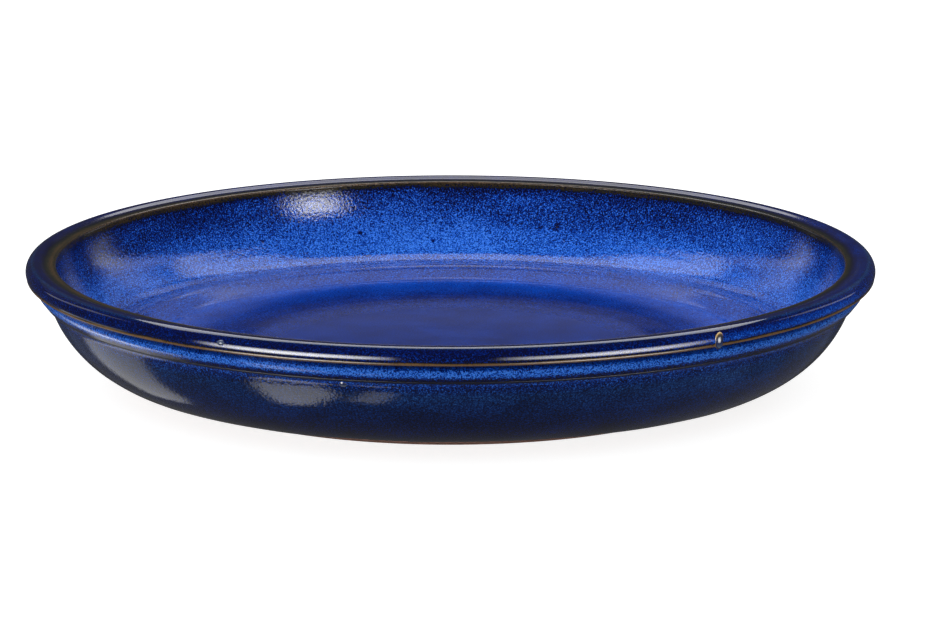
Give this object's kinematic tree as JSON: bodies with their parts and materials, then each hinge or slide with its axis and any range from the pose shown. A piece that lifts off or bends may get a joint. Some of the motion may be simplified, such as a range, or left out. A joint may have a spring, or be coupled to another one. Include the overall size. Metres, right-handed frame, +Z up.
{
  "type": "plant saucer",
  "caption": "Round shallow stoneware saucer with a rolled rim, a bead below it, a coved well with a flat floor, and a running blue glaze that breaks brown at its edges.",
  "frame": {"origin": "centre of the round foot, on the surface that the saucer stands on", "axes": "+Z up along the axis that the form is spun about; the view of the picture looks along +Y"},
  "size_m": [0.35, 0.35, 0.0525],
  "materials": {
    "stoneware": "bare fired red stoneware, matte and slightly rough, darker where it comes through the glaze",
    "glaze": "glossy cobalt blue running glaze with fine pale speckle, near black where thin and bright where it pools"
  },
  "bodies": {
    "root": {"clay_body": "stoneware", "glaze_well": "glaze", "glaze_lip": "glaze", "glaze_cove": "glaze", "glaze_wall": "glaze", "glaze_drops": "glaze"}
  },
  "joints": []
}
